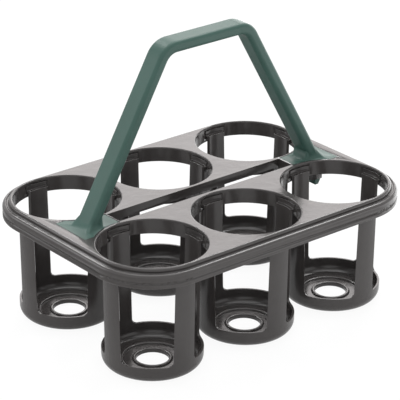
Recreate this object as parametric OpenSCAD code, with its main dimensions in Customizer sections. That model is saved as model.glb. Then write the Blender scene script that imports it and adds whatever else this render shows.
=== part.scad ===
// Six pack carrier: a moulded tray, six cups that snap into its collars and a snap-in handle.
// Millimetres. The floor is z = 0, the length runs along X and the handle stands over the middle.

/* [Cups] */
// Diameter of the six round openings in the deck
hole_d = 94; // [90:1:100]
// Diameter inside the socket that holds the foot of a bottle
socket_d = 83; // [76:1:85]
// Height of the socket wall above the floor
socket_h = 15; // [10:1:30]
// Wall of a cup, staves and socket alike
cup_wall = 2; // [1.6:0.1:2.6]
// Radial gap between a stave and the edge of its opening
stave_gap = 1.8; // [1.2:0.1:2.2]
// Width of a stave where it meets the socket, in degrees round the cup
stave_deg = 28; // [20:1:34]
// Width of a stave's head and of the tab above it, in degrees round the cup
head_deg = 27; // [20:1:32]
// How far each side of a window leans out from its foot to the deck
window_flare = 2; // [0:0.5:4]
// Corner radius at the foot of a window between two staves
window_r = 4; // [1:0.5:8]
// Thickness of a cup's floor
floor_t = 2.2; // [1.6:0.1:3]
// Radius round the outside of a cup's foot
foot_r = 9; // [4:0.5:10]
// Diameter of the drain hole in a cup's floor
drain_d = 28; // [16:1:34]
// Width of each of the two raised rings round the drain hole
ring_w = 3.2; // [1.5:0.1:4]
// Height of the raised rings
ring_h = 1.5; // [0.5:0.1:2]
// Radius of the outer raised ring
ring_r = 25; // [22:0.5:32]

/* [Tray] */
// Height of the deck's top above the floor
deck_z = 110; // [90:1:140]
// Thickness of the deck
deck_t = 3; // [2.4:0.1:3.6]
// Deck left between two neighbouring openings
web_w = 8; // [7:0.5:20]
// Flat deck outside the openings, up to the step
land_w = 3.5; // [2.5:0.5:8]
// Width of the rim outside the step
rim_w = 5.5; // [5:0.5:9]
// Drop from the deck to the rim
step_h = 3.5; // [2.5:0.5:5]
// Radius of the rim's outer shoulder
shoulder_r = 3; // [2.8:0.1:3.2]
// Radius of the cove between the step and the rim's bead
cove_r = 1.4; // [1:0.1:1.4]
// Height of the skirt from the deck's top to its lower edge
skirt_h = 16; // [14:1:24]
// Wall of the rim and skirt
skirt_t = 2.5; // [2.3:0.1:2.7]
// Radius of the deck's edge above the step
deck_r = 2.2; // [1:0.1:2.2]
// Top of the groove round the skirt, below the deck
groove_top = 9.7; // [9:0.1:10.5]
// Height of the groove
groove_h = 2.5; // [1.5:0.1:3]
// Depth of the groove
groove_d = 0.8; // [0.4:0.1:1.2]
// Radius of the lip at each opening and at the foot of the skirt
lip_r = 1.2; // [0.4:0.1:1.6]

/* [Collars] */
// Depth of the collar that hangs under each opening, from the deck's top
collar_h = 13.5; // [12.5:0.5:20]
// Wall of a collar
collar_t = 2.2; // [2:0.1:2.6]
// Depth of the sill that carries a cup's tabs, from the deck's top
sill_depth = 10.5; // [9.5:0.1:11.5]
// How far a tab reaches over its sill
tab_reach = 1.4; // [1:0.1:1.6]
// Depth of the ledge on a stave, from the deck's top
ledge_depth = 7.5; // [6:0.1:8.5]
// Clearance round a tab in its collar window
tab_gap = 0.4; // [0.2:0.1:0.6]

/* [Slot] */
// Width of the long slot between the two rows
slot_w = 18; // [12:1:30]
// Deck between the slot and the openings
slot_land = 3.5; // [3.5:0.5:10]
// Depth of the wall round the slot, from the deck's top
slot_h = 8; // [5:1:12]
// Wall round the slot
slot_t = 1.6; // [1.2:0.1:2]
// Distance from the slot's end to the centre of the end openings
slot_end = 5; // [3:0.5:8]

/* [Handle] */
// Height of the crossbar's top above the deck
handle_h = 147; // [110:0.5:170]
// Length of the crossbar between its outer corners, before rounding
bar_w = 95; // [80:1:120]
// Distance between the outer faces of the legs at the deck
leg_span = 262; // [250:1:266]
// Width of the strap across the carrier
strap_w = 20; // [16:1:22]
// Thickness of the strap
strap_t = 10.5; // [8.5:0.5:13]
// Radius inside the strap's corners at the crossbar
bend_r = 12; // [6:1:16]
// Corner radius on the outer side of the strap
outer_r = 3.5; // [1:0.5:4]
// Corner radius on the grip side of the strap
grip_r = 4; // [3:0.5:5]
// Height of the boot where a leg spreads on to its foot
boot_h = 9; // [6:1:14]
// How far a boot spreads past the outer face of its leg, and to each side there
boot_spread = 2.5; // [1:0.5:4]
// Corner radius of a boot
boot_r = 3; // [1:0.5:4]

/* [Handle feet] */
// Thickness of a foot plate, flush with the deck
foot_t = 3; // [2.4:0.1:4]
// Width of a foot plate at its outer end
foot_w = 41; // [34:1:44]
// Distance from a foot's outer end to the step of the rim
foot_margin = 10.5; // [8:0.5:14]
// Clearance round a foot plate in its recess
foot_gap = 0.3; // [0.2:0.1:0.5]
// Deck lip left between a recess and the openings
foot_lip = 3; // [2.8:0.1:4]
// Thickness of a snap tongue
tongue_t = 3.6; // [2.6:0.2:4.2]
// Width of a snap tongue
tongue_w = 20; // [14:1:21]
// Depth of the edge that the barb hooks under, from the deck's top
catch_depth = 20.7; // [18:0.1:24]
// How far the barb stands out
barb_out = 3.4; // [2:0.1:4]
// Height of the barb
barb_h = 6; // [4:0.5:8]
// Wall of the sleeve round a tongue
sleeve_t = 2; // [1.6:0.1:2.6]

/* [Ribs] */
// Thickness of the stiffening ribs under the deck
rib_t = 1.8; // [1.4:0.1:2.4]
// Depth of the ribs under the deck's top
rib_h = 7; // [5:0.5:8]

/* [Hidden] */
$fn = 96;
eps = 0.01;
hair = 0.05;
overlap = 1;
hole_r = hole_d / 2;
pitch_x = hole_d + web_w;
pitch_y = hole_d + slot_w + 2 * slot_land;
row_y = pitch_y / 2;
socket_r = socket_d / 2;
base_r = socket_r + cup_wall;
bowl_r = foot_r - cup_wall;
stave_r = hole_r - stave_gap;
sill_z = deck_z - sill_depth;
ledge_z = deck_z - ledge_depth;
tab_r = hole_r + tab_reach;
window_angle = 90 - stave_deg;
window_half = (base_r - cup_wall / 2) * sin(window_angle / 2);
edge_r = hole_r + land_w;
half_l = pitch_x + edge_r;
half_w = row_y + edge_r;
slot_half = pitch_x - slot_end;
foot_in = slot_half + slot_t + foot_gap;
foot_out = half_l - foot_margin;
leg_run = (leg_span - bar_w) / 2;
leg_tilt = atan2(leg_run, handle_h);
leg_len = norm([leg_run, handle_h]);
outer_bend = bend_r + strap_t;
bend_turn = 90 - leg_tilt;
bend_back = outer_bend * tan(bend_turn / 2);
leg_wide = strap_t / cos(leg_tilt);
leg_out = leg_span / 2;
tongue_out = leg_out - 2;
tongue_in = tongue_out - tongue_t;
well_in = tongue_out - tongue_t - barb_out - foot_gap;
cups = [
    ["cup_front_left", -1, -1], ["cup_front_middle", 0, -1], ["cup_front_right", 1, -1],
    ["cup_back_left", -1, 1], ["cup_back_middle", 0, 1], ["cup_back_right", 1, 1]
];
plastic = [0.27, 0.26, 0.26];
green = [0.36, 0.48, 0.44];

// Puts its children at the axis of every opening
module at_openings() {
    for (c = cups) translate([c[1] * pitch_x, c[2] * row_y, 0]) children();
}

// Part of a ring between two radii, centred on +X, of the given angle and height
module ring_sector(r_in, r_out, angle, height) {
    rotate([0, 0, -angle / 2]) rotate_extrude(angle = angle)
        translate([r_in, 0]) square([r_out - r_in, height]);
}

// Rounded outline of the flat deck, grown by d
module deck_outline(d = 0) {
    for (y = [-row_y, row_y]) for (x = [-pitch_x, pitch_x])
        translate([x, y]) circle(r = edge_r + d);
    square([2 * pitch_x, 2 * (half_w + d)], center = true);
    square([2 * (half_l + d), pitch_y], center = true);
}

// Section of the rim and skirt. The step's face is x = 0 and the deck's top is y = 0
module rim_section() {
    shoulder = [rim_w - shoulder_r, -step_h - shoulder_r];
    difference() {
        union() {
            // Riser at the deck's rounded edge, and the shelf outside it
            translate([-skirt_t, -step_h - skirt_t])
                square([skirt_t, step_h + skirt_t - deck_r]);
            translate([-skirt_t, -deck_r]) square([skirt_t - deck_r, deck_r]);
            translate([-deck_r, -deck_r]) circle(r = deck_r);
            translate([-skirt_t, -step_h - skirt_t])
                square([skirt_t + shoulder[0], skirt_t]);
            translate(shoulder) circle(r = shoulder_r);
            // Skirt down to its rounded lower lip
            translate([rim_w - skirt_t, lip_r - skirt_h])
                square([skirt_t, skirt_h + shoulder[1] - lip_r]);
            translate([rim_w - skirt_t, -skirt_h]) square([skirt_t - lip_r, lip_r]);
            translate([rim_w - lip_r, lip_r - skirt_h]) circle(r = lip_r);
        }
        // Cove between the riser and the bead
        translate([cove_r * 0.85, cove_r / 7 - step_h]) circle(r = cove_r);
        // Hollow inside the shoulder
        translate([0, -skirt_h - eps])
            square([rim_w - skirt_t, skirt_h - step_h - shoulder_r + eps]);
        translate([0, -skirt_h]) square([shoulder[0], skirt_h - step_h - skirt_t]);
        // Groove round the skirt
        translate([rim_w - groove_d, -groove_top - groove_h]) square([groove_d + 1, groove_h]);
    }
}

// Rim swept round the deck: four straight runs and four quarter turns
module rim() {
    translate([0, 0, deck_z]) {
        for (s = [0, 180]) rotate([0, 0, s]) {
            translate([-pitch_x, half_w, 0]) rotate([90, 0, 90])
                linear_extrude(2 * pitch_x) rim_section();
            translate([half_l, row_y, 0]) rotate([90, 0, 0])
                linear_extrude(pitch_y) rim_section();
            translate([pitch_x, row_y, 0]) rotate_extrude(angle = 90)
                translate([edge_r, 0]) rim_section();
            translate([-pitch_x, row_y, 0]) rotate([0, 0, 90]) rotate_extrude(angle = 90)
                translate([edge_r, 0]) rim_section();
        }
    }
}

// Outline of a handle's foot plate on the +X side, grown by d
module foot_outline(d = 0) {
    difference() {
        translate([foot_in - d, -foot_w / 2 - d])
            square([foot_out - foot_in + 2 * d, foot_w + 2 * d]);
        for (y = [-row_y, row_y]) translate([pitch_x, y]) circle(r = hole_r + foot_lip - d);
    }
}

// Section of the lip cut from the top of an opening, revolved round its axis
module lip_cut() {
    rotate_extrude() difference() {
        translate([hole_r - 1, -lip_r]) square([lip_r + 1, lip_r + 1]);
        translate([hole_r + lip_r, -lip_r]) circle(r = lip_r);
    }
}

// Ribs between neighbouring collars, and across each web from the slot's wall to the rim's step
module deck_ribs() {
    far_y = half_w - skirt_t / 2;
    near_y = slot_w / 2 + slot_t / 2;
    translate([0, 0, deck_z - rib_h]) for (x = [-pitch_x / 2, pitch_x / 2]) for (s = [-1, 1]) {
        translate([x - web_w / 2 - collar_t, s * row_y - rib_t / 2, 0])
            cube([web_w + 2 * collar_t, rib_t, rib_h - deck_t / 2]);
        translate([x - rib_t / 2, s > 0 ? near_y : -far_y, 0])
            cube([rib_t, far_y - near_y, rib_h - deck_t / 2]);
    }
}

// Well, sleeve and walls under a foot of the handle, on the +X side
module foot_well() {
    translate([0, 0, deck_z - foot_t - deck_t]) linear_extrude(foot_t + deck_t / 2)
        foot_outline(foot_gap + sleeve_t);
    translate([well_in - sleeve_t, -tongue_w / 2 - foot_gap - sleeve_t, deck_z - catch_depth])
        cube([
            tongue_out + foot_gap - well_in + 2 * sleeve_t,
            tongue_w + 2 * (foot_gap + sleeve_t),
            catch_depth - foot_t
        ]);
}

// Space that a foot of the handle and its tongue take in the tray, on the +X side
module foot_space() {
    translate([0, 0, deck_z - foot_t]) linear_extrude(foot_t + 1) foot_outline(foot_gap);
    translate([well_in, -tongue_w / 2 - foot_gap, deck_z - catch_depth - 1])
        cube([tongue_out + foot_gap - well_in, tongue_w + 2 * foot_gap, catch_depth]);
}

module tray() {
    tab_angle = head_deg + 2 * tab_gap / hole_r * 180 / PI;
    color(plastic) difference() {
        union() {
            translate([0, 0, deck_z - deck_t]) linear_extrude(deck_t) deck_outline(-skirt_t);
            rim();
            at_openings() translate([0, 0, deck_z - collar_h])
                cylinder(r = hole_r + collar_t, h = collar_h - deck_t / 2);
            translate([-slot_half - slot_t, -slot_w / 2 - slot_t, deck_z - slot_h])
                cube([2 * (slot_half + slot_t), slot_w + 2 * slot_t, slot_h - deck_t / 2]);
            for (a = [0, 180]) rotate([0, 0, a]) foot_well();
            deck_ribs();
        }
        at_openings() {
            translate([0, 0, deck_z - skirt_h - 1]) cylinder(r = hole_r, h = skirt_h + 2);
            translate([0, 0, deck_z]) lip_cut();
            for (a = [0:90:270]) rotate([0, 0, a]) translate([0, 0, sill_z])
                ring_sector(hole_r - 1, tab_r + tab_gap, tab_angle, sill_depth - deck_t);
        }
        translate([-slot_half, -slot_w / 2, deck_z - slot_h - 1])
            cube([2 * slot_half, slot_w, slot_h + 2]);
        for (a = [0, 180]) rotate([0, 0, a]) foot_space();
    }
}

// Section of a cup's socket and floor, from the drain hole outwards
module socket_section() {
    difference() {
        union() {
            translate([drain_d / 2, 0]) square([base_r - foot_r - drain_d / 2, floor_t]);
            translate([base_r - foot_r, foot_r]) circle(r = foot_r);
            translate([socket_r, foot_r]) square([cup_wall, socket_h - foot_r]);
            translate([socket_r - bowl_r, 0]) square([cup_wall, foot_r]);
            translate([socket_r - bowl_r, foot_r]) square([foot_r, cup_wall]);
        }
        translate([socket_r - bowl_r, floor_t + bowl_r]) circle(r = bowl_r);
        translate([0, floor_t]) square([socket_r - bowl_r, socket_h]);
        translate([0, floor_t + bowl_r]) square([socket_r, socket_h]);
    }
    for (r = [drain_d / 2, ring_r]) translate([r, floor_t - eps]) ring_bump();
}

// Raised ring on the floor, a flat top between two rounded edges
module ring_bump() {
    edge = min(ring_h, ring_w / 2) * 0.8;
    square([ring_w, ring_h - edge + eps]);
    translate([edge, 0]) square([ring_w - 2 * edge, ring_h + eps]);
    for (x = [edge, ring_w - edge]) translate([x, ring_h - edge]) circle(r = edge);
}

// Window between two staves, cut outwards along the diagonal and wider at the deck
module window_cut() {
    top = deck_z - socket_h + 1;
    lean = atan2(window_flare, top);
    // Where the rounded corner meets the sloping side
    corner = [window_half - window_r / tan(45 + lean / 2), window_r];
    rotate([0, 0, 45]) rotate([90, 0, 90]) translate([0, socket_h]) linear_extrude(hole_r + 5) {
        polygon([
            [-corner[0], 0], [corner[0], 0],
            [corner[0] + window_r * cos(lean), window_r - window_r * sin(lean)],
            [window_half + window_flare, top], [-window_half - window_flare, top],
            [-corner[0] - window_r * cos(lean), window_r - window_r * sin(lean)]
        ]);
        for (s = [-1, 1]) translate([s * corner[0], corner[1]]) circle(r = window_r);
    }
}

// One cup on its own axis: socket, four staves and their snap tabs
module cup_body() {
    rotate_extrude() socket_section();
    // Staves: a drafted shell with four windows cut from it
    difference() {
        rotate_extrude() polygon([
            [socket_r, socket_h - eps], [base_r, socket_h - eps],
            [stave_r, ledge_z], [stave_r - cup_wall, ledge_z]
        ]);
        for (a = [0:90:270]) rotate([0, 0, a]) window_cut();
    }
    for (a = [0:90:270]) rotate([0, 0, a]) {
        // Head that sits on the sill of a collar window
        translate([0, 0, sill_z])
            ring_sector(stave_r - cup_wall / 2, tab_r, head_deg, ledge_z - sill_z);
        // Tab above it, up to the deck
        translate([0, 0, sill_z]) ring_sector(
            hole_r - tab_gap, tab_r, head_deg, sill_depth - deck_t - tab_gap
        );
    }
}

module cup(name) {
    for (c = cups) if (c[0] == name)
        color(plastic) translate([c[1] * pitch_x, c[2] * row_y, 0]) cup_body();
}

// Section of the strap: x runs outwards from its grip side, y across its width
module strap_section(inset = 0) {
    side = strap_w / 2;
    translate([grip_r, inset - side])
        square([strap_t - grip_r - outer_r, strap_w - 2 * inset]);
    translate([inset, grip_r - side]) square([strap_t - 2 * inset, strap_w - 2 * grip_r]);
    translate([strap_t / 2, outer_r - side])
        square([strap_t / 2 - inset, strap_w - 2 * outer_r]);
    for (s = [-1, 1]) {
        translate([grip_r, s * (side - grip_r)]) circle(r = grip_r - inset);
        translate([strap_t - outer_r, s * (side - outer_r)]) circle(r = outer_r - inset);
    }
}

// Crossbar. Like the legs it reaches into the bends, and is slimmer than they are by a hair
module crossbar() {
    length = bar_w - 2 * bend_back + 2 * overlap;
    translate([-length / 2, 0, deck_z + handle_h - strap_t]) rotate([0, 90, 0])
        rotate([0, 0, 180]) linear_extrude(length) strap_section(hair);
}

// Bend and leg of the strap on the +X side
module bend_and_leg() {
    centre = [bar_w / 2 - bend_back, deck_z + handle_h - outer_bend];
    tangent = centre + outer_bend * [sin(bend_turn), cos(bend_turn)];
    translate([centre[0], 0, centre[1]]) rotate([-90, 0, 0]) rotate([0, 0, -90])
        rotate_extrude(angle = bend_turn) translate([bend_r, 0]) strap_section();
    difference() {
        translate([tangent[0], 0, tangent[1]]) rotate([0, 180 - leg_tilt, 0])
            translate([0, 0, -overlap]) linear_extrude(leg_len - bend_back + overlap)
                rotate([0, 0, 180]) translate([-strap_t, 0]) strap_section(hair);
        translate([0, -leg_span / 2, deck_z - foot_t / 2 - leg_span])
            cube([leg_span, leg_span, leg_span]);
    }
}

// Snap tongue with a barb that hooks outwards under the sleeve, seen from the side
module tongue_section() {
    barb_top = -catch_depth - foot_gap / 2;
    polygon([
        [tongue_in, -foot_t / 2], [tongue_out, -foot_t / 2], [tongue_out, barb_top],
        [tongue_out + barb_out, barb_top], [tongue_out, barb_top - barb_h],
        [tongue_in, barb_top - barb_h]
    ]);
}

// Foot on the +X side: the plate in the deck, the boot on it and the barbed tongue below
module handle_foot() {
    // Where the leg's inner face stands at the boot's top
    inner = leg_out - leg_wide - boot_h * tan(leg_tilt);
    translate([0, 0, deck_z - foot_t]) linear_extrude(foot_t) foot_outline();
    hull() {
        for (s = [-1, 1]) translate([0, s * strap_w / 2, deck_z - foot_t / 2]) {
            translate([inner + boot_r, -s * boot_r, 0])
                cylinder(r = boot_r, h = foot_t / 2, $fn = 24);
            translate([leg_out + boot_spread - boot_r, s * (boot_spread - boot_r), 0])
                cylinder(r = boot_r, h = foot_t / 2, $fn = 24);
        }
        translate([inner + 1, grip_r / 2 - strap_w / 2, deck_z + boot_h])
            cube([leg_wide - 2, strap_w - grip_r, eps]);
    }
    translate([0, tongue_w / 2, deck_z]) rotate([90, 0, 0]) linear_extrude(tongue_w)
        tongue_section();
}

module handle() {
    color(green) {
        crossbar();
        for (m = [0, 1]) mirror([m, 0, 0]) {
            bend_and_leg();
            handle_foot();
        }
    }
}

tray();
cup("cup_front_left");  // cup_front_left
cup("cup_front_middle");  // cup_front_middle
cup("cup_front_right");  // cup_front_right
cup("cup_back_left");  // cup_back_left
cup("cup_back_middle");  // cup_back_middle
cup("cup_back_right");  // cup_back_right
handle();
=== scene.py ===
import bpy
import bmesh
import math
from mathutils import Matrix, Vector


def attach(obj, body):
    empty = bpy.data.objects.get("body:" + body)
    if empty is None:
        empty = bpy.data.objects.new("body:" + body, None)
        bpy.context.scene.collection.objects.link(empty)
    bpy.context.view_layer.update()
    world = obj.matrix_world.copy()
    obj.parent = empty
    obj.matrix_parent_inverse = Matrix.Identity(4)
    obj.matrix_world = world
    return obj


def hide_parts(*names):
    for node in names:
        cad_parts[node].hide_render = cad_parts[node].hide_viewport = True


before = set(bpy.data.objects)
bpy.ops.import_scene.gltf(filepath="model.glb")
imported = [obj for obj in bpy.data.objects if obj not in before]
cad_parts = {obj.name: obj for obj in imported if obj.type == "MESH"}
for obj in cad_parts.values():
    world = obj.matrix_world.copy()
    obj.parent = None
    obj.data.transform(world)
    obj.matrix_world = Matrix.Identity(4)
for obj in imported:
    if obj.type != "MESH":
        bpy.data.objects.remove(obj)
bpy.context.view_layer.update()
MM = 0.001
QUARTER = math.pi / 2


# Shader maths

class Socket:
    """A node's output, with the operators that the materials use."""

    def __init__(self, tree, link=None):
        self.tree, self.link = tree, link

    def node(self, kind, which=0, settings=None, **inputs):
        """An output of any other node, given its settings and its inputs, i0 for input 0."""
        made = self.tree.nodes.new(kind)
        for key, value in (settings or {}).items():
            if key == "stops":
                for stop, (place, colour) in zip(made.color_ramp.elements, value):
                    stop.position = place
                    stop.color = (*colour, 1)
            else:
                setattr(made, key, value)
        for key, value in inputs.items():
            spot = made.inputs[int(key[1:]) if key[1:].isdigit() else key]
            if isinstance(value, Socket):
                self.tree.links.new(value.link, spot)
            else:
                spot.default_value = value
        return Socket(self.tree, made.outputs[which])

    def math(self, how, first, second):
        return self.node("ShaderNodeMath", settings={"operation": how}, i0=first, i1=second)

    def __add__(self, other): return self.math("ADD", self, other)
    def __radd__(self, other): return self.math("ADD", other, self)
    def __sub__(self, other): return self.math("SUBTRACT", self, other)
    def __rsub__(self, other): return self.math("SUBTRACT", other, self)
    def __mul__(self, other): return self.math("MULTIPLY", self, other)
    def __rmul__(self, other): return self.math("MULTIPLY", other, self)

    def held(self, least, most):
        """The value kept between two limits."""
        return self.math("MINIMUM", self.math("MAXIMUM", self, least), most)

    def noise(self, scale, detail, rough):
        return self.node("ShaderNodeTexNoise", Vector=self, Scale=scale, Detail=detail,
                         Roughness=rough)

    def ramp(self, *stops):
        """A ramp between two colours, each given with its place."""
        return self.node("ShaderNodeValToRGB", settings={"stops": stops}, Fac=self)

    def feed(self, spot):
        self.tree.links.new(self.link, spot)


def moulded_plastic(name, dark, light, rough, grain, waves, index):
    """Plastic with a slow drift of colour, a fine grain and the uneven gloss of a used thing."""
    made = bpy.data.materials.new(name)
    made.use_nodes = True
    tree = made.node_tree
    shader = tree.nodes["Principled BSDF"]
    start = Socket(tree)
    place = start.node("ShaderNodeTexCoord", "Object")
    drift = place.noise(scale=14, detail=4, rough=0.6)
    flow = place.noise(scale=55, detail=5, rough=0.65)
    fine = place.noise(scale=2600, detail=2, rough=0.5)
    tone = drift * 0.65 + flow * 0.35
    tone.ramp((0.3, dark), (0.7, light)).feed(shader.inputs["Base Color"])
    flow_share, fine_share = 0.12, 0.05
    middle = (flow_share + fine_share) / 2
    gloss = flow * flow_share + fine * fine_share + (rough - middle)
    gloss.feed(shader.inputs["Roughness"])
    height = fine * 0.6 + flow * 0.4
    skin = start.node("ShaderNodeBump", Height=height, Strength=grain, Distance=0.2 * MM)
    # Walls of a moulding are never quite flat: long shallow waves, drawn out upwards
    drawn = start.node("ShaderNodeMapping", Vector=place, Scale=(1, 1, 0.3))
    swell = drawn.noise(scale=70, detail=2, rough=0.5)
    bump = start.node("ShaderNodeBump", Height=swell, Strength=waves, Distance=2 * MM,
                      Normal=skin)
    bump.feed(shader.inputs["Normal"])
    shader.inputs["IOR"].default_value = index
    return made


grey_plastic = moulded_plastic(
    "dark_grey_plastic", dark=(0.038, 0.034, 0.033), light=(0.050, 0.046, 0.045),
    rough=0.20, grain=0.06, waves=0.16, index=1.5)
green_plastic = moulded_plastic(
    "dull_green_plastic", dark=(0.031, 0.072, 0.059), light=(0.041, 0.092, 0.077),
    rough=0.42, grain=0.08, waves=0.10, index=1.36)


CAD_SHARP_DEG, CUP_SHARP_DEG, BEVEL_OVER_DEG = 35, 50, 30
CAD_MERGE, CUP_MERGE = 0.005, 0.002          # millimetres within which corners become one


def stand_in(mesh, name, material, sharp_deg, node):
    """Shade a mesh evenly between its sharp edges, hang it from the root body and hide the CAD node
    whose place it takes.
    """
    mesh.shade_smooth()
    mesh.set_sharp_from_angle(angle=math.radians(sharp_deg))
    mesh.materials.clear()
    mesh.materials.append(material)
    piece = bpy.data.objects.new(name, mesh)
    bpy.context.scene.collection.objects.link(piece)
    even = piece.modifiers.new("even_normals", "WEIGHTED_NORMAL")
    even.mode = "FACE_AREA"
    even.keep_sharp = True
    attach(piece, "root")
    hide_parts(node)


def dress(node, name, material):
    """A merged copy of a CAD node, with smooth curves."""
    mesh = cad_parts[node].data.copy()
    shape = bmesh.new()
    shape.from_mesh(mesh)
    bmesh.ops.remove_doubles(shape, verts=shape.verts, dist=CAD_MERGE * MM)
    shape.to_mesh(mesh)
    shape.free()
    mesh.name = name
    stand_in(mesh, name, material, CAD_SHARP_DEG, node)


# Mesh helpers, in millimetres until finish_piece()

def sheet(shape, rows, wrap=False):
    """Quads between neighbouring rows of points; gives back the rows' corners."""
    made = [[shape.verts.new(point) for point in row] for row in rows]
    for low, high in zip(made, made[1:]):
        for k in range(len(low) if wrap else len(low) - 1):
            n = (k + 1) % len(low)
            shape.faces.new((low[k], low[n], high[n], high[k]))
    return made


def arc(x, z, radius, start, end, steps):
    """Points of an arc in a section, between two angles in degrees."""
    turns = [math.radians(start + (end - start) * k / steps) for k in range(steps + 1)]
    return [(x + radius * math.cos(t), z + radius * math.sin(t)) for t in turns]


def turned(angle, radius, z):
    """A point at an angle round the cup's axis."""
    return (radius * math.cos(angle), radius * math.sin(angle), z)


def soften(shape, width):
    """Round every edge that turns by more than the limit."""
    bmesh.ops.remove_doubles(shape, verts=shape.verts, dist=CUP_MERGE)
    bmesh.ops.recalc_face_normals(shape, faces=shape.faces)
    sharp = [e for e in shape.edges if len(e.link_faces) == 2
             and e.calc_face_angle(0) > math.radians(BEVEL_OVER_DEG)]
    bmesh.ops.bevel(shape, geom=sharp, offset=width, offset_type="OFFSET", segments=2,
                    profile=0.5, affect="EDGES", material=-1, clamp_overlap=True)


def finish_piece(shape, name, place, material, node):
    """From millimetres round the cup's axis to metres at its place in the frame."""
    bmesh.ops.scale(shape, verts=shape.verts, vec=(MM, MM, MM))
    bmesh.ops.translate(shape, verts=shape.verts, vec=place)
    mesh = bpy.data.meshes.new(name)
    shape.to_mesh(mesh)
    shape.free()
    stand_in(mesh, name, material, CUP_SHARP_DEG, node)


# Cups: the CAD's sizes in millimetres, with every edge of the moulding softened

WALL, BASE_R, SOCKET_R, SOCKET_H = 2, 43.5, 41.5, 15
FOOT_R, BOWL_R, FLOOR_T = 9, 7, 2.2
DRAIN_R, RING_R, RING_W, RING_H, RING_EDGE = 14, 25, 3.2, 1.5, 1.2
FLAT_R = 24                                  # an edge loop on the flat of the foot
STAVE_R, STAVE_DEG, LEDGE_Z, DECK_Z = 45.2, 28, 102.5, 110
HEAD_IN, HEAD_OUT, HEAD_DEG, SILL_Z = 44.2, 48.4, 27, 99.5
TAB_IN, TAB_TOP = 46.6, 106.6
WINDOW_R, FLARE = 4, 2
WINDOW = (BASE_R + SOCKET_R) / 2 * math.sin(math.radians(45 - STAVE_DEG / 2))
WINDOW_TOP = DECK_Z - SOCKET_H + 1
LEAN = math.atan2(FLARE, WINDOW_TOP)
CORNER = WINDOW - WINDOW_R / math.tan(QUARTER / 2 + LEAN / 2)
EDGE_SOFT, HEAD_SOFT = 0.35, 0.3
CORNER_STEPS, RISE_STEPS, BOWL_STEPS, BUMP_STEPS = 6, 7, 9, 4
STAVE_STEPS, WINDOW_STEPS, HEAD_STEPS = 12, 10, 12


def window_side():
    """Rising side of a window: half width and height above the socket."""
    corner = [(CORNER + WINDOW_R * math.sin(t), WINDOW_R * (1 - math.cos(t)))
              for t in ((QUARTER - LEAN) * k / CORNER_STEPS for k in range(CORNER_STEPS + 1))]
    (x, z), top = corner[-1], LEDGE_Z - SOCKET_H
    slope = (WINDOW + FLARE - x) / (WINDOW_TOP - z)
    rises = [(top - z) * k / RISE_STEPS for k in range(1, RISE_STEPS + 1)]
    return corner + [(x + slope * rise, z + rise) for rise in rises]


def stave_rows(radius, top_radius):
    """Radius, height and half angle of a stave, row by row, on one side of the wall."""
    for half, up in window_side():
        here = radius + (top_radius - radius) * up / (LEDGE_Z - SOCKET_H)
        yield here, SOCKET_H + up, QUARTER / 2 - math.asin(half / here)


def across(turn, reach):
    """Angles across a stave, from one side to the other."""
    return [turn + reach * (2 * k / STAVE_STEPS - 1) for k in range(STAVE_STEPS + 1)]


def staves(shape, sides):
    """Faces, sides and tops of the four staves, from their rows on both sides of the wall."""
    for rows in sides:
        for quarter in range(4):
            sheet(shape, [[turned(a, here, z) for a in across(QUARTER * quarter, reach)]
                          for here, z, reach in rows])
    for quarter in range(4):
        turn = QUARTER * quarter
        for side in (-1, 1):
            sheet(shape, [[turned(turn + side * reach, here, z) for here, z, reach in rows]
                          for rows in sides])
        sheet(shape, [[turned(a, rows[-1][0], rows[-1][1]) for a in across(turn, rows[-1][2])]
                      for rows in sides])


def foot(shape, sides):
    """The socket's wall below the staves, the foot and the floor with its rings and drain hole."""
    rings = []
    for rows in sides:
        reach = rows[0][2]
        gap = QUARTER - 2 * reach
        ring = []
        for quarter in range(4):
            turn = QUARTER * quarter
            ring += across(turn, reach)
            ring += [turn + reach + gap * k / WINDOW_STEPS for k in range(1, WINDOW_STEPS)]
        rings.append(ring)
    outer, inner = rings
    step = STAVE_STEPS + WINDOW_STEPS
    for quarter in range(4):
        sill = [(quarter * step + STAVE_STEPS + k) % len(outer) for k in range(WINDOW_STEPS + 1)]
        sheet(shape, [[turned(outer[k], BASE_R, SOCKET_H) for k in sill],
                      [turned(inner[k], SOCKET_R, SOCKET_H) for k in sill]])
    under = [(DRAIN_R, 0), (FLAT_R, 0)]
    under += arc(BASE_R - FOOT_R, FOOT_R, FOOT_R, -90, 0, BOWL_STEPS) + [(BASE_R, SOCKET_H)]
    over = [(SOCKET_R, SOCKET_H)]
    over += arc(SOCKET_R - BOWL_R, FLOOR_T + BOWL_R, BOWL_R, 0, -90, BOWL_STEPS)
    ring_z = FLOOR_T + RING_H - RING_EDGE
    for start in (RING_R, DRAIN_R):
        over += [(start + RING_W, FLOOR_T)]
        over += arc(start + RING_W - RING_EDGE, ring_z, RING_EDGE, 0, 90, BUMP_STEPS)
        over += arc(start + RING_EDGE, ring_z, RING_EDGE, 90, 180, BUMP_STEPS)
        if start == RING_R:
            over += [(start, FLOOR_T)]
    sheet(shape, [[turned(a, x, z) for a in outer] for x, z in under], wrap=True)
    sheet(shape, [[turned(a, x, z) for a in inner] for x, z in over], wrap=True)
    sheet(shape, [[turned(a, DRAIN_R, over[-1][1]) for a in inner],
                  [turned(a, DRAIN_R, 0) for a in outer]], wrap=True)


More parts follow.
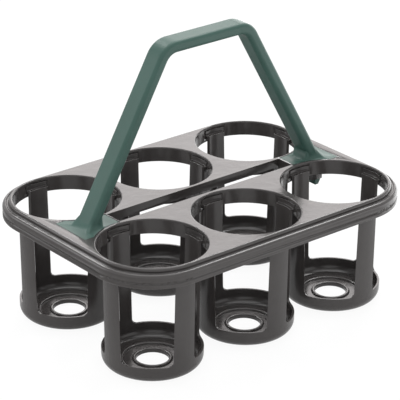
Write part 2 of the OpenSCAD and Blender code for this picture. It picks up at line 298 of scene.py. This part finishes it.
def heads():
    """Four blocks on the sill of the collar, each with the snap tab above it."""
    section = [(HEAD_IN, SILL_Z), (HEAD_OUT, SILL_Z), (HEAD_OUT, TAB_TOP), (TAB_IN, TAB_TOP),
               (TAB_IN, LEDGE_Z), (HEAD_IN, LEDGE_Z)]
    shape = bmesh.new()
    for quarter in range(4):
        angles = [QUARTER * quarter + math.radians(HEAD_DEG) * (k / HEAD_STEPS - 0.5)
                  for k in range(HEAD_STEPS + 1)]
        made = sheet(shape, [[turned(a, x, z) for x, z in section] for a in angles], wrap=True)
        shape.faces.new(made[0])
        shape.faces.new(made[-1])
    soften(shape, HEAD_SOFT)
    mesh = bpy.data.meshes.new("heads")
    shape.to_mesh(mesh)
    shape.free()
    return mesh


def cup_shape():
    """One cup round its own axis."""
    shape = bmesh.new()
    sides = [list(stave_rows(BASE_R, STAVE_R)), list(stave_rows(SOCKET_R, STAVE_R - WALL))]
    staves(shape, sides)
    foot(shape, sides)
    soften(shape, EDGE_SOFT)
    spare = heads()
    shape.from_mesh(spare)
    bpy.data.meshes.remove(spare)
    return shape


PITCH_X, ROW_Y = 102 * MM, 59.5 * MM
for j, row in ((-1, "front"), (1, "back")):
    for i, column in ((-1, "left"), (0, "middle"), (1, "right")):
        cup = f"cup_{row}_{column}"
        finish_piece(cup_shape(), cup + "_shell", (i * PITCH_X, j * ROW_Y, 0), grey_plastic,
                     cup)
dress("tray", "tray_shell", grey_plastic)
dress("handle", "handle_strap", green_plastic)


# Studio

FLOOR_HALF = 6
FLOOR_DROP = 0.2 * MM                        # keeps the sweep clear of the faces that stand on it
SEEN_WHITE = 0.93                            # share of plain white that the camera sees
SWEEP, SWEEP_ROUGH = 0.9, 0.9                # the rest: tone and roughness of the sweep itself


def white_floor():
    """A white sweep that looks pure white to the camera and keeps the object's shadow."""
    shape = bmesh.new()
    bmesh.ops.create_grid(shape, x_segments=1, y_segments=1, size=FLOOR_HALF)
    mesh = bpy.data.meshes.new("studio_floor")
    shape.to_mesh(mesh)
    shape.free()
    mesh.transform(Matrix.Translation((0, 0, -FLOOR_DROP)))
    floor = bpy.data.objects.new("studio_floor", mesh)
    bpy.context.scene.collection.objects.link(floor)
    made = bpy.data.materials.new("studio_white")
    made.use_nodes = True
    tree = made.node_tree
    shader = tree.nodes["Principled BSDF"]
    shader.inputs["Base Color"].default_value = (SWEEP, SWEEP, SWEEP, 1)
    shader.inputs["Roughness"].default_value = SWEEP_ROUGH
    start = Socket(tree)
    camera_ray, glossy_ray = (start.node("ShaderNodeLightPath", f"Is {kind} Ray")
                              for kind in ("Camera", "Glossy"))
    # Painted reflections: to glossy rays the sweep glows darker towards the back left, a painted
    # shade, and brighter far to the right, a painted light that goes past white
    place = start.node("ShaderNodeTexCoord", "Object")
    x, y = (start.node("ShaderNodeSeparateXYZ", axis, Vector=place) for axis in "XY")
    painted_shade_back_left = (0.72 - (y - x) * 0.6).held(0.35, 1.0)
    painted_light_far_right = ((x - 0.25) * 10).held(0, 1.4)
    glow = start.node("ShaderNodeEmission", Color=camera_ray + glossy_ray * (painted_shade_back_left + painted_light_far_right))
    above = start.node("ShaderNodeMixShader", i0=(camera_ray + glossy_ray) * SEEN_WHITE,
                       i1=Socket(tree, shader.outputs[0]), i2=glow)
    # From underneath the sweep lets the view through to the feet
    under = start.node("ShaderNodeNewGeometry", "Backfacing")
    clear = start.node("ShaderNodeBsdfTransparent")
    both = start.node("ShaderNodeMixShader", i0=under, i1=above, i2=clear)
    both.feed(tree.nodes["Material Output"].inputs["Surface"])
    mesh.materials.append(made)


def lamp(name, place, target, size, power, tint=(1, 1, 1)):
    """A soft rectangular lamp that faces its target."""
    data = bpy.data.lights.new(name, "AREA")
    data.shape = "RECTANGLE"
    data.size, data.size_y = size
    data.energy = power
    data.color = tint
    made = bpy.data.objects.new(name, data)
    made.location = place
    made.rotation_euler = (Vector(target) - Vector(place)).to_track_quat("-Z", "Y").to_euler()
    bpy.context.scene.collection.objects.link(made)


white_floor()
lamp("top_softbox", (0.1, 0.2, 2.2), (0, 0, 0.1), (1.8, 1.4), 15)
lamp("back_softbox", (1.75, 2.1, 1.45), (0, 0, 0.1), (1.9, 1.5), 18.5, (1, 0.94, 0.93))
lamp("left_softbox", (-1.75, 1.7, 0.85), (0, 0, 0.1), (1.3, 1.1), 8)
lamp("spot_softbox", (0.14, 1.54, 1.62), (0, 0, 0.1), (0.4, 0.36), 8)
lamp("ridge_softbox", (1.3, 0.5, 1.75), (0, 0, 0.1), (0.8, 0.6), 15)
lamp("horizon_softbox", (2.05, 0.85, 0.33), (0, 0, 0.05), (1.9, 0.6), 10)

world = bpy.data.worlds.new("studio_air")
bpy.context.scene.world = world
world.use_nodes = True
air = world.node_tree.nodes["Background"]
air.inputs["Color"].default_value = (1, 1, 1, 1)
air.inputs["Strength"].default_value = 1

# Camera, at the photograph's place, angle and focal length
SENSOR_MM, PHOTO_WIDTH_PX, FOCAL_PX = 36, 400, 2151.08
camera_data = bpy.data.cameras.new("photo_camera")
camera_data.sensor_width = SENSOR_MM
camera_data.lens = SENSOR_MM * FOCAL_PX / PHOTO_WIDTH_PX
camera_data.clip_end = 50
camera = bpy.data.objects.new("photo_camera", camera_data)
right = (0.772662, -0.634786, 0.006371)
up = (0.254658, 0.319132, 0.912855)
out = (-0.581501, -0.703706, 0.408235)
spot = Matrix.Translation((-1.09568, -1.32356, 0.8677))
camera.matrix_world = spot @ Matrix((right, up, out)).transposed().to_4x4()
bpy.context.scene.collection.objects.link(camera)
bpy.context.scene.camera = camera
bpy.context.scene.view_settings.view_transform = "Standard"
